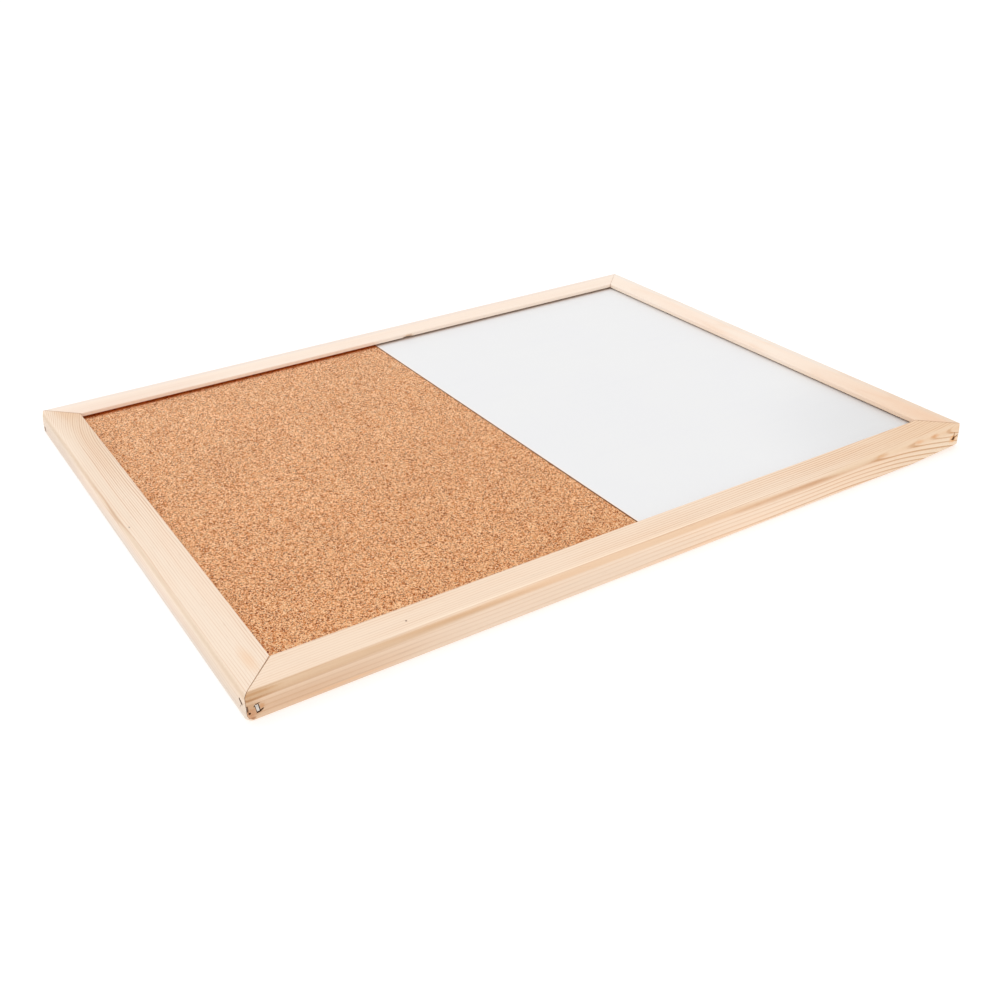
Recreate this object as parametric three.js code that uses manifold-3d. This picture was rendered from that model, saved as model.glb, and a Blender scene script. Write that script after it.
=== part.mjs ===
// A wall board of two halves, cork to pin on and white to write on, in a mitred pine frame.
// Millimetres. It lies on its back with +Z up, and the origin is the middle of its underside.
// X runs along the long side with the cork at -X. The rail at +Y is the top one when it hangs.
import * as THREE from 'three';
import { mergeVertices } from 'three/addons/utils/BufferGeometryUtils.js';
import Module from 'manifold-3d';

const wasm = await Module();
wasm.setup();

// Outside of the frame
const boardLength = 400;
const boardWidth = 300;

// Section of the rails: a grooved moulding with a round outer edge
const railFace = 18;
const frontLip = 2.2;
const backLip = 3.6;
const grooveDepth = 6;
const outerArris = 3;
const backArris = 1.5;
const lipArris = 0.4;

// Corners of the frame: an open mitre line and a sanded upright edge
const mitreGap = 0.3;
const cornerArris = 1.8;

// Panel: a backing board that carries the cork sheet and the white sheet side by side
const panelPlay = 1;
const backingThickness = 3;
const corkThickness = 2.5;
const whiteThickness = 3;
const shadowGap = 1.1;
const seamGap = 0.5;
const panelSeat = 0.05;
const glueLine = 0.05;

// Flat-wire staples, shot through both rails at each corner
const stapleCrown = 4;
const stapleLeg = 14;
const staplePoint = 1.2;
const stapleBend = 0.8;
const wireThickness = 0.6;
const wireWidth = 1.2;
const stapleSink = 1;
const staplePlay = 0.1;

// Toothed hangers, let into the back of the top rail so that the board lies flat
const hangerFromEnd = 80;
const hangerLength = 36;
const hangerWidth = 5.4;
const hangerSheet = 0.9;
const hangerInset = 4.6;
const hangerPlay = 0.3;
const hangerSeat = 0.05;
const toothPitch = 3;
const toothDepth = 1.2;

// Pocket behind the teeth for the head of the nail in the wall
const pocketDepth = 4;
const pocketWall = 0.4;
const pocketOverhang = 2;

// Round-headed nails that hold the hangers
const nailLength = 9;
const nailShank = 1.3;
const nailHead = 3;
const nailHeadThickness = 0.6;
const nailPoint = 1.6;
const nailSet = 0.1;
const nailInset = 3.2;
const nailPlay = 0.1;

// Counts: teeth, facets of round edges and of nails, and cells across a flat sheet
const toothCount = 7;
const arcSteps = 5;
const roundSteps = 16;
const sheetCells = 3;

// How far a cutting tool runs past what it cuts
const overrun = 2;

// Levels, widths and lengths that follow from the sizes above
const panelBottom = backLip + panelSeat;
const sheetBottom = panelBottom + backingThickness + glueLine;
const lipUnderside = sheetBottom + Math.max(corkThickness, whiteThickness) + shadowGap;
const railThickness = lipUnderside + frontLip;
const solidWidth = railFace - grooveDepth;
const panelEdge = solidWidth + panelPlay;
const panelLength = boardLength - 2 * panelEdge;
const panelWidth = boardWidth - 2 * panelEdge;
const sheetLength = (panelLength - seamGap) / 2;
const plateBottom = nailSet + nailHeadThickness + hangerSeat;
const recessDepth = plateBottom + hangerSheet + hangerSeat;
const toothSpan = toothCount * toothPitch;
const nailPitch = hangerLength - 2 * nailInset;

const pine = { color: 0xf2dcc0, roughness: 0.7, metalness: 0 };
const palePine = { color: 0xf7e6d2, roughness: 0.7, metalness: 0 };
const cork = { color: 0xd3a06c, roughness: 0.95, metalness: 0 };
const whiteLacquer = { color: 0xeeeff0, roughness: 0.25, metalness: 0 };
const hardboard = { color: 0x8b5e3b, roughness: 0.85, metalness: 0 };
const brightSteel = { color: 0xc4c6c8, roughness: 0.35, metalness: 0.9 };
const zincPlate = { color: 0xc9c4b4, roughness: 0.4, metalness: 0.85 };

// The rails. Each lies along its own x, with its outer face at y 0 and the panel towards its +y.
const rails = {
  rail_front: { length: boardLength, x: 0, y: -boardWidth / 2, quarterTurns: 0, finish: pine },
  rail_right: { length: boardWidth, x: boardLength / 2, y: 0, quarterTurns: 1, finish: palePine },
  rail_back: { length: boardLength, x: 0, y: boardWidth / 2, quarterTurns: 2, finish: palePine },
  rail_left: { length: boardWidth, x: -boardLength / 2, y: 0, quarterTurns: 3, finish: pine },
};

// Two staples cross at each corner, one through each rail's outer face at that end of its x.
// Their distance from the corner is a share of the solid wood, their depth one of a full sinking.
// Rise moves both up or down, as a share of the wood above and below the crown.
const corners = [
  {
    riseShare: 0,
    lower: { name: 'staple_front_left', rail: 'rail_front', end: -1, insetShare: 0.39, sinkShare: 0.2 },
    upper: { name: 'staple_left_front', rail: 'rail_left', end: 1, insetShare: 0.43, sinkShare: 1 },
  },
  {
    riseShare: 0,
    lower: { name: 'staple_right_front', rail: 'rail_right', end: -1, insetShare: 0.5, sinkShare: 0.5 },
    upper: { name: 'staple_front_right', rail: 'rail_front', end: 1, insetShare: 0.72, sinkShare: 1 },
  },
  {
    riseShare: -0.2,
    lower: { name: 'staple_left_back', rail: 'rail_left', end: -1, insetShare: 0.68, sinkShare: 1 },
    upper: { name: 'staple_back_left', rail: 'rail_back', end: 1, insetShare: 0.45, sinkShare: 0.4 },
  },
  {
    riseShare: 0.1,
    lower: { name: 'staple_back_right', rail: 'rail_back', end: -1, insetShare: 0.55, sinkShare: 0.3 },
    upper: { name: 'staple_right_back', rail: 'rail_right', end: 1, insetShare: 0.4, sinkShare: 0.7 },
  },
];

function toSolid(geometry) {
  const bare = geometry.clone();
  bare.deleteAttribute('normal');
  bare.deleteAttribute('uv');
  const merged = mergeVertices(bare);
  const vertProperties = merged.getAttribute('position').array;
  const triVerts = new Uint32Array(merged.index.array);
  return new wasm.Manifold(new wasm.Mesh({ numProp: 3, vertProperties, triVerts }));
}

function toGeometry(solid) {
  const mesh = solid.getMesh();
  const geometry = new THREE.BufferGeometry();
  geometry.setAttribute('position', new THREE.BufferAttribute(mesh.vertProperties, 3));
  geometry.setIndex(new THREE.BufferAttribute(mesh.triVerts, 1));
  const faceted = geometry.toNonIndexed();
  faceted.computeVertexNormals();
  return faceted;
}

function extrude(shape, depth) {
  return new THREE.ExtrudeGeometry(shape, { depth, bevelEnabled: false, curveSegments: arcSteps });
}

function makeMesh(name, geometry, finish) {
  const mesh = new THREE.Mesh(geometry, new THREE.MeshStandardMaterial(finish));
  mesh.name = name;
  return mesh;
}

// The rail's section, with its outer face at x 0 and its back at y 0.
function railSection() {
  const quarter = Math.PI / 2;
  const section = new THREE.Shape();
  section.moveTo(backArris, 0);
  section.lineTo(railFace, 0);
  section.lineTo(railFace, backLip);
  section.lineTo(solidWidth, backLip);
  section.lineTo(solidWidth, lipUnderside);
  section.lineTo(railFace, lipUnderside);
  section.absarc(railFace - lipArris, railThickness - lipArris, lipArris, 0, quarter, false);
  section.absarc(outerArris, railThickness - outerArris, outerArris, quarter, 2 * quarter, false);
  section.absarc(backArris, backArris, backArris, 2 * quarter, 3 * quarter, false);
  return section;
}

// The rail from above: 45 degree mitres, each set back by half the gap, and sanded tips.
function railPlan(length) {
  const down = -Math.PI / 2;
  const tipAngle = Math.PI / 4 - Math.asin(mitreGap / (2 * cornerArris));
  const tipCentre = length / 2 - cornerArris;
  const innerEnd = length / 2 - railFace - mitreGap / Math.SQRT2;
  const plan = new THREE.Shape();
  plan.moveTo(-tipCentre, 0);
  plan.absarc(tipCentre, cornerArris, cornerArris, down, down + tipAngle, false);
  plan.lineTo(innerEnd, railFace);
  plan.lineTo(-innerEnd, railFace);
  plan.absarc(-tipCentre, cornerArris, cornerArris, down - tipAngle, down, false);
  return plan;
}

function railSolid(length) {
  // The section is drawn across the rail and then runs along it.
  const alongRail = new THREE.Matrix4().makeBasis(
    new THREE.Vector3(0, 1, 0),
    new THREE.Vector3(0, 0, 1),
    new THREE.Vector3(1, 0, 0),
  );
  const moulding = extrude(railSection(), length).applyMatrix4(alongRail);
  const mitres = extrude(railPlan(length), railThickness + 2 * overrun);
  moulding.translate(-length / 2, 0, 0);
  mitres.translate(0, 0, -overrun);
  return toSolid(moulding).intersect(toSolid(mitres));
}

// A staple seen flat: crown along x at y 0, legs towards +y, with points cut on the inside.
function stapleOutline() {
  const outer = stapleCrown / 2;
  const inner = outer - wireThickness;
  const shape = new THREE.Shape();
  shape.moveTo(-outer, stapleLeg - staplePoint);
  shape.absarc(-outer + stapleBend, stapleBend, stapleBend, Math.PI, 1.5 * Math.PI, false);
  shape.absarc(outer - stapleBend, stapleBend, stapleBend, -0.5 * Math.PI, 0, false);
  shape.lineTo(outer, stapleLeg - staplePoint);
  shape.lineTo(inner, stapleLeg);
  shape.lineTo(inner, wireThickness);
  shape.lineTo(-inner, wireThickness);
  shape.lineTo(-inner, stapleLeg);
  return shape;
}

// What the staple and its driver leave in the wood: two leg slots, and a slot open above the crown.
function stapleSlotOutline() {
  const outer = stapleCrown / 2 + staplePlay;
  const inner = stapleCrown / 2 - wireThickness - staplePlay;
  const mouth = -stapleSink - overrun;
  const seat = wireThickness + staplePlay;
  const end = stapleLeg + staplePlay;
  const slot = new THREE.Shape();
  slot.moveTo(-outer, mouth);
  slot.lineTo(outer, mouth);
  slot.lineTo(outer, end);
  slot.lineTo(inner, end);
  slot.lineTo(inner, seat);
  slot.lineTo(-inner, seat);
  slot.lineTo(-inner, end);
  slot.lineTo(-outer, end);
  return slot;
}

// Turns a flat staple so that its crown stands upright in the rail's face and its legs go in.
function uprightInFace(outline, width) {
  const upright = new THREE.Matrix4().makeBasis(
    new THREE.Vector3(0, 0, 1),
    new THREE.Vector3(0, 1, 0),
    new THREE.Vector3(-1, 0, 0),
  );
  const geometry = extrude(outline, width);
  geometry.translate(0, 0, -width / 2);
  return geometry.applyMatrix4(upright);
}

// Every staple with its place in its own rail's frame. The legs of a pair pass between each other.
function placeStaples() {
  const crossing = (stapleCrown - wireThickness) / 2;
  return corners.flatMap(({ riseShare, lower, upper }) => {
    const spare = (railThickness - stapleCrown) / 2;
    const middle = railThickness / 2 + riseShare * spare;
    const levels = [[lower, middle - crossing / 2], [upper, middle + crossing / 2]];
    return levels.map(([staple, height]) => {
      const { name, rail, end, insetShare, sinkShare } = staple;
      const along = end * (rails[rail].length / 2 - insetShare * solidWidth);
      return { name, rail, place: new THREE.Vector3(along, sinkShare * stapleSink, height) };
    });
  });
}

const staples = placeStaples();

function railMatrix(rail) {
  const turned = new THREE.Matrix4().makeRotationZ((rail.quarterTurns * Math.PI) / 2);
  return turned.setPosition(rail.x, rail.y, 0);
}

// The slots of all the staples in one rail's frame, because each staple runs into its neighbour.
function stapleSlots(rail) {
  const toRail = railMatrix(rail).invert();
  return staples.map((staple) => {
    const slot = uprightInFace(stapleSlotOutline(), wireWidth + 2 * staplePlay);
    slot.translate(staple.place.x, staple.place.y, staple.place.z);
    slot.applyMatrix4(railMatrix(rails[staple.rail]));
    return toSolid(slot.applyMatrix4(toRail));
  });
}

// A bar with half-round ends, centred.
function barOutline(length, width) {
  const reach = (length - width) / 2;
  const bar = new THREE.Shape();
  bar.moveTo(-reach, -width / 2);
  bar.absarc(reach, 0, width / 2, -Math.PI / 2, Math.PI / 2, false);
  bar.absarc(-reach, 0, width / 2, Math.PI / 2, 1.5 * Math.PI, false);
  return bar;
}

// The hanger's plate. The nail in the wall drops into one of the notches along its +y edge.
function hangerOutline() {
  const radius = hangerWidth / 2;
  const reach = hangerLength / 2 - radius;
  const plate = new THREE.Shape();
  plate.moveTo(-reach, -radius);
  plate.absarc(reach, 0, radius, -Math.PI / 2, Math.PI / 2, false);
  for (let tooth = 0; tooth < toothCount; tooth += 1) {
    const start = toothSpan / 2 - tooth * toothPitch;
    plate.lineTo(start, radius);
    plate.lineTo(start - toothPitch / 2, radius - toothDepth);
  }
  plate.lineTo(-toothSpan / 2, radius);
  plate.absarc(-reach, 0, radius, Math.PI / 2, 1.5 * Math.PI, false);
  for (const side of [-1, 1]) {
    const hole = new THREE.Path();
    hole.absarc((side * nailPitch) / 2, 0, nailShank / 2 + nailPlay, 0, 2 * Math.PI, true);
    plate.holes.push(hole);
  }
  return plate;
}

// A nail with its head at z 0 and its point up. With play it is the hole that the nail sits in.
function nailGeometry(play) {
  const head = nailHead / 2 + play;
  const shank = nailShank / 2 + play;
  const domeShare = 0.6;
  const rimShare = 0.4;
  const profile = [
    new THREE.Vector2(0, 0),
    new THREE.Vector2(head * domeShare, 0),
    new THREE.Vector2(head, nailHeadThickness * rimShare),
    new THREE.Vector2(head, nailHeadThickness),
    new THREE.Vector2(shank, nailHeadThickness),
    new THREE.Vector2(shank, nailLength - nailPoint),
    new THREE.Vector2(0, nailLength + play),
  ];
  return new THREE.LatheGeometry(profile, roundSteps).rotateX(Math.PI / 2);
}

// The hangers' places in the back rail's frame, whose +x end is at the board's left.
const hangerReach = boardLength / 2 - hangerFromEnd;
const hangers = {
  hanger_left: new THREE.Vector3(hangerReach, hangerInset, 0),
  hanger_right: new THREE.Vector3(-hangerReach, hangerInset, 0),
};

// For each hanger a recess for its plate, a deeper pocket behind its teeth and two nail holes.
function hangerRecesses() {
  const pocketFrom = hangerWidth / 2 - toothDepth - pocketOverhang;
  const pocketTo = solidWidth - pocketWall - hangerInset;
  const pocketWidth = pocketTo - pocketFrom;
  const recessOutline = barOutline(hangerLength + 2 * hangerPlay, hangerWidth + 2 * hangerPlay);
  const pocketOutline = barOutline(toothSpan + pocketWidth, pocketWidth);
  return Object.values(hangers).flatMap((place) => {
    const recess = extrude(recessOutline, recessDepth + overrun).translate(0, 0, -overrun);
    const pocket = extrude(pocketOutline, pocketDepth + overrun);
    pocket.translate(0, (pocketFrom + pocketTo) / 2, -overrun);
    const holes = [-1, 1].map((side) => nailGeometry(nailPlay).translate((side * nailPitch) / 2, 0, nailSet));
    return [recess, pocket, ...holes].map((tool) => toSolid(tool.translate(place.x, place.y, 0)));
  });
}

function makeStaple({ name, place }) {
  const staple = makeMesh(name, uprightInFace(stapleOutline(), wireWidth), brightSteel);
  staple.position.copy(place);
  return staple;
}

function makeHanger(name, place) {
  const hanger = new THREE.Group();
  hanger.position.copy(place);
  const plate = makeMesh(name, extrude(hangerOutline(), hangerSheet), zincPlate);
  plate.position.z = plateBottom;
  hanger.add(plate);
  for (const [end, side] of [['a', -1], ['b', 1]]) {
    const nail = makeMesh(`${name}_nail_${end}`, nailGeometry(0), brightSteel);
    nail.position.set((side * nailPitch) / 2, 0, nailSet);
    hanger.add(nail);
  }
  return hanger;
}

function makeRail(name, rail) {
  const group = new THREE.Group();
  group.position.set(rail.x, rail.y, 0);
  group.rotation.z = (rail.quarterTurns * Math.PI) / 2;
  const tools = stapleSlots(rail);
  if (name === 'rail_back') {
    tools.push(...hangerRecesses());
    Object.entries(hangers).forEach(([hanger, place]) => group.add(makeHanger(hanger, place)));
  }
  const wood = tools.reduce((solid, tool) => solid.subtract(tool), railSolid(rail.length));
  group.add(makeMesh(name, toGeometry(wood), rail.finish));
  staples.filter((staple) => staple.rail === name).forEach((staple) => group.add(makeStaple(staple)));
  return group;
}

// A flat sheet of the panel's width, with its underside at that level and its middle at x.
function makeSheet(name, length, thickness, x, underside, finish) {
  const geometry = new THREE.BoxGeometry(length, panelWidth, thickness, sheetCells, sheetCells, 1);
  const sheet = makeMesh(name, geometry, finish);
  sheet.position.set(x, 0, underside + thickness / 2);
  return sheet;
}

function makePanel() {
  const panel = new THREE.Group();
  const fromSeam = (seamGap + sheetLength) / 2;
  panel.add(
    makeSheet('backing_board', panelLength, backingThickness, 0, panelBottom, hardboard),
    makeSheet('cork_sheet', sheetLength, corkThickness, -fromSeam, sheetBottom, cork),
    makeSheet('whiteboard_sheet', sheetLength, whiteThickness, fromSeam, sheetBottom, whiteLacquer),
  );
  return panel;
}

const board = new THREE.Group();
Object.entries(rails).forEach(([name, rail]) => board.add(makeRail(name, rail)));
board.add(makePanel());

export default board;
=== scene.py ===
import math

import bmesh
import bpy
from mathutils import Matrix, Vector


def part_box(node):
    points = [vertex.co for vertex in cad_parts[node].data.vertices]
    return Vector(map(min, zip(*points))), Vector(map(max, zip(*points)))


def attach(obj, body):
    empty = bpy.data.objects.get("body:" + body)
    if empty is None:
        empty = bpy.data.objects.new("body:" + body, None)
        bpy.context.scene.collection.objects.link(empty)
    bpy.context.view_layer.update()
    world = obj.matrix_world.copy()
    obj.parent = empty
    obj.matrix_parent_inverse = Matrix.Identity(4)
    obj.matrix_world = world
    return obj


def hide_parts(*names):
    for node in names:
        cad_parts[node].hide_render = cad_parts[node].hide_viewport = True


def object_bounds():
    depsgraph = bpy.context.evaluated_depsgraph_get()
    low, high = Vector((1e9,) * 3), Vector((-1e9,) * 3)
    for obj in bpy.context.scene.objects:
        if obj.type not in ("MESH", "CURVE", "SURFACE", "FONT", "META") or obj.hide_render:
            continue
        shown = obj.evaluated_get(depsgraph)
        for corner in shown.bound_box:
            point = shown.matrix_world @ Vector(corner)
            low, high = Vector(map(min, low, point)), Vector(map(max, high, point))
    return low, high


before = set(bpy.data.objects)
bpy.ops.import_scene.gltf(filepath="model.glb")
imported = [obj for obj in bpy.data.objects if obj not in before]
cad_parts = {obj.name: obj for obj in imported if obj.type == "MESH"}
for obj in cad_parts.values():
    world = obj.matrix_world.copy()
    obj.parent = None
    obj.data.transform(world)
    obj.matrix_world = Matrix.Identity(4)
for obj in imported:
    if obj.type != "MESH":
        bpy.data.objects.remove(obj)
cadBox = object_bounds()
print("frame loaded, nodes:", len(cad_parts))

mm = 0.001
bpy.context.scene.view_settings.view_transform = "Standard"


# Nodes: a value that is a socket gets linked, and any other is set on the input

def addNode(tree, kind, inputs=None, **options):
    node = tree.nodes.new("ShaderNode" + kind)
    for option, value in options.items():
        setattr(node, option, value)
    for key, value in (inputs or {}).items():
        if isinstance(value, bpy.types.NodeSocket):
            tree.links.new(value, node.inputs[key])
        else:
            node.inputs[key].default_value = value
    return node


def calc(tree, operation, first, second=0.0):
    return addNode(tree, "Math", {0: first, 1: second}, operation=operation).outputs[0]


def shift(tree, operation, first, second):
    return addNode(tree, "VectorMath", {0: first, 1: second}, operation=operation).outputs[0]


def remap(tree, value, fromLow, fromHigh, toLow=0.0, toHigh=1.0, way="SMOOTHSTEP"):
    inputs = {0: value, 1: fromLow, 2: fromHigh, 3: toLow, 4: toHigh}
    return addNode(tree, "MapRange", inputs, interpolation_type=way).outputs[0]


def blend(tree, share, first, second, way="MIX"):
    inputs = {0: share, 6: first, 7: second}
    return addNode(tree, "Mix", inputs, data_type="RGBA", blend_type=way).outputs[2]


def ramp(tree, value, stops, way="LINEAR"):
    node = addNode(tree, "ValToRGB", {0: value})
    node.color_ramp.interpolation = way
    while len(node.color_ramp.elements) < len(stops):
        node.color_ramp.elements.new(0.5)
    for element, (place, color) in zip(node.color_ramp.elements, stops):
        element.position = place
        element.color = color
    return node.outputs[0]


def noise(tree, vector, detail=2.0, rough=0.5, output="Fac"):
    inputs = {"Vector": vector, "Scale": 1.0, "Detail": detail, "Roughness": rough}
    return addNode(tree, "TexNoise", inputs).outputs[output]


def cells(tree, vector, output="Color", feature="F1"):
    return addNode(tree, "TexVoronoi", {"Vector": vector, "Scale": 1.0}, feature=feature).outputs[output]


def channel(tree, color, index):
    return addNode(tree, "SeparateColor", {0: color}).outputs[index]


# Object coordinates in millimetres, centred on a place and turned
def measured(tree, place=(0, 0, 0), turn=(0, 0, 0)):
    spot = addNode(tree, "TexCoord").outputs["Object"]
    inputs = {"Vector": spot, "Location": place, "Rotation": turn, "Scale": (mm, mm, mm)}
    return addNode(tree, "Mapping", inputs, vector_type="TEXTURE").outputs[0]


def stretched(tree, vector, scale, move=(0, 0, 0)):
    return addNode(tree, "Mapping", {"Vector": vector, "Location": move, "Scale": scale}).outputs[0]


def tone(red, green, blue):
    return tuple(((level / 255 + 0.055) / 1.055) ** 2.4 for level in (red, green, blue)) + (1.0,)


def grey(level):
    return (level, level, level, 1.0)


def startMaterial(name):
    material = bpy.data.materials.new(name)
    material.use_nodes = True
    tree = material.node_tree
    tree.nodes.clear()
    shader = addNode(tree, "BsdfPrincipled")
    addNode(tree, "OutputMaterial", {"Surface": shader.outputs[0]})
    return material, tree, shader


def finishSurface(tree, shader, color, roughness, height, distance, strength):
    bump = addNode(tree, "Bump", {"Height": height, "Distance": distance, "Strength": strength})
    tree.links.new(bump.outputs[0], shader.inputs["Normal"])
    tree.links.new(color, shader.inputs["Base Color"])
    tree.links.new(roughness, shader.inputs["Roughness"])


# Camera, floor and light

camera = {
    "place": (-299.2 * mm, -489.4 * mm, 285.9 * mm),
    "turn": (60.496, 1.108, -32.567),
    "lens": 42.45,
    "sensor": 36.0,
}

studio = {
    "floorSize": 8.0,
    "floorDrop": 0.2 * mm,
    "floorWhite": 0.60,
    "floorGlow": 0.50,
    "skyStrength": 0.90,
    "lamps": {
        "overhead": {"place": (-0.3, 0.5, 1.9), "size": 2.2, "power": 5.0},
        "leftFront": {"place": (-1.7, -1.3, 1.0), "size": 1.6, "power": 3.0},
    },
}


def addCamera():
    lens = bpy.data.cameras.new("viewCamera")
    lens.lens = camera["lens"]
    lens.sensor_width = camera["sensor"]
    lens.sensor_height = camera["sensor"]
    lens.clip_start = 10 * mm
    eye = bpy.data.objects.new("viewCamera", lens)
    eye.location = camera["place"]
    eye.rotation_euler = [math.radians(angle) for angle in camera["turn"]]
    bpy.context.scene.collection.objects.link(eye)
    bpy.context.scene.camera = eye


def addLamp(name, lamp):
    light = bpy.data.lights.new(name, "AREA")
    light.size = lamp["size"]
    light.energy = lamp["power"]
    holder = bpy.data.objects.new(name, light)
    holder.location = lamp["place"]
    holder.rotation_euler = (-holder.location).to_track_quat("-Z", "Y").to_euler()
    bpy.context.scene.collection.objects.link(holder)


# 1 where the surface is seen straight, or in metal or glass
def seenDirectly(tree):
    path = addNode(tree, "LightPath")
    seen = calc(tree, "MAXIMUM", path.outputs["Is Camera Ray"], path.outputs["Is Glossy Ray"])
    return calc(tree, "MAXIMUM", seen, path.outputs["Is Transmission Ray"])


def addFloor():
    bpy.ops.object.select_all(action="DESELECT")
    bpy.ops.mesh.primitive_plane_add(size=studio["floorSize"], location=(0, 0, -studio["floorDrop"]))
    floor = bpy.context.object
    floor.name = "floor"
    material, _, shader = startMaterial("floorWhite")
    shader.inputs["Base Color"].default_value = grey(studio["floorWhite"])
    shader.inputs["Roughness"].default_value = 0.9
    shader.inputs["Specular IOR Level"].default_value = 0.0
    shader.inputs["Emission Color"].default_value = grey(1.0)
    shader.inputs["Emission Strength"].default_value = studio["floorGlow"]
    floor.data.materials.append(material)


def addSky():
    world = bpy.data.worlds.new("studioSky")
    bpy.context.scene.world = world
    world.use_nodes = True
    tree = world.node_tree
    tree.nodes.clear()
    strength = remap(tree, seenDirectly(tree), 0.0, 1.0, studio["skyStrength"], 1.0, "LINEAR")
    sky = addNode(tree, "Background", {"Color": grey(1.0), "Strength": strength})
    addNode(tree, "OutputWorld", {"Surface": sky.outputs[0]})


addCamera()
addFloor()
addSky()
for lampName, lampSettings in studio["lamps"].items():
    addLamp(lampName, lampSettings)
print("camera, floor and light set")


# Modelling: what each operator needs before it, and picks by place or normal

def takeOnly(piece):
    bpy.ops.object.select_all(action="DESELECT")
    piece.select_set(True)
    bpy.context.view_layer.objects.active = piece


def startEdit(piece):
    takeOnly(piece)
    bpy.ops.object.mode_set(mode="EDIT")
    bpy.ops.mesh.select_all(action="SELECT")


def endEdit():
    bpy.ops.object.mode_set(mode="OBJECT")


def middle(part):
    if isinstance(part, bmesh.types.BMVert):
        return part.co
    if isinstance(part, bmesh.types.BMEdge):
        return (part.verts[0].co + part.verts[1].co) / 2
    return part.calc_center_median()


def pick(kind, wanted):
    bpy.ops.mesh.select_mode(type=kind)
    bpy.ops.mesh.select_all(action="DESELECT")
    mesh = bmesh.from_edit_mesh(bpy.context.object.data)
    parts = {"VERT": mesh.verts, "EDGE": mesh.edges, "FACE": mesh.faces}[kind]
    for part in parts:
        if wanted(part):
            part.select = True
    mesh.select_flush_mode()
    bmesh.update_edit_mesh(bpy.context.object.data)


def near(first, second):
    return abs(first - second) < 0.01 * mm


def extrude(x, y, z):
    bpy.ops.mesh.extrude_region_move(TRANSFORM_OT_translate={"value": (x, y, z)})


def cutAlong(place, normal, **options):
    bpy.ops.mesh.select_all(action="SELECT")
    bpy.ops.mesh.bisect(plane_co=place, plane_no=normal, threshold=0.0001 * mm, **options)


def settle(piece):
    takeOnly(piece)
    bpy.ops.object.transform_apply(location=True, rotation=True, scale=True)


def addBlock(name, low, high):
    low, high = Vector(low), Vector(high)
    bpy.ops.object.select_all(action="DESELECT")
    bpy.ops.mesh.primitive_cube_add(size=1, location=(low + high) / 2)
    block = bpy.context.object
    block.name = name
    block.scale = high - low
    settle(block)
    return block


# A block whose upright edges are rounded
def addBar(name, low, high, radius, steps=8):
    bar = addBlock(name, low, high)
    startEdit(bar)
    pick("EDGE", lambda edge: near(edge.verts[0].co.x, edge.verts[1].co.x)
         and near(edge.verts[0].co.y, edge.verts[1].co.y))
    bpy.ops.mesh.bevel(offset=radius, segments=steps)
    endEdit()
    return bar


def finishWith(piece, kind, **options):
    step = piece.modifiers.new(kind.lower(), kind)
    for option, value in options.items():
        setattr(step, option, value)
    takeOnly(piece)
    bpy.ops.object.modifier_apply(modifier=step.name)


def softenEdges(piece, width, steps=2, angle=40):
    finishWith(piece, "BEVEL", width=width, segments=steps, limit_method="ANGLE",
               angle_limit=math.radians(angle))


def cutWith(piece, tool):
    finishWith(piece, "BOOLEAN", operation="DIFFERENCE", solver="MANIFOLD", object=tool)
    bpy.data.objects.remove(tool)


def dress(piece, node, material, angle=35):
    takeOnly(piece)
    bpy.ops.object.shade_smooth_by_angle(angle=math.radians(angle))
    piece.data.materials.clear()
    piece.data.materials.append(material)
    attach(piece, "root")
    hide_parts(node)


# Pine: growth rings round a pith that lies beside the rail, pale early wood and darker late wood

pine = {
    "canalTone": tone(176, 128, 88),
    "holeShade": tone(96, 50, 22),
    "jointTone": tone(192, 142, 98),
    "jointWide": (0.1, 0.8),
    "topStarts": (0.5, 3.0),
    "arcSize": 3.0,
    "arcFoot": 10.0,
    "holeShadeStarts": (0.03, 0.22),
    "grain": 0.12 * mm,
}


# A mark with its place and reach along the rail, inwards and up, how soft and ragged its border
# is, and its strongest share. A stain covers the wood; the other kind multiplies its colour, and
# serves for tints of the wood and for painted shade.
def stain(place, reach, soft, ragged, share, color, way="MIX"):
    return {"place": place, "reach": reach, "soft": soft, "ragged": ragged, "share": share,
            "color": color, "way": way}


def multiplyMark(*values):
    return stain(*values, way="MULTIPLY")


# Damage in the outer face. A slot or crack has its width, height and depth, and a pit or tear has
# its reach along the rail, inwards and up.
# The dark share is painted shade inside the hole.
def flaw(kind, place, size, dark, lean=0):
    return {"kind": kind, "place": place, "size": size, "dark": dark, "lean": lean}


def holeSize(hole):
    wide, tall, deep = hole["size"]
    if hole["kind"] == "pit":
        return wide, 1, deep
    return wide / 2, 1, tall / 2


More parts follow.
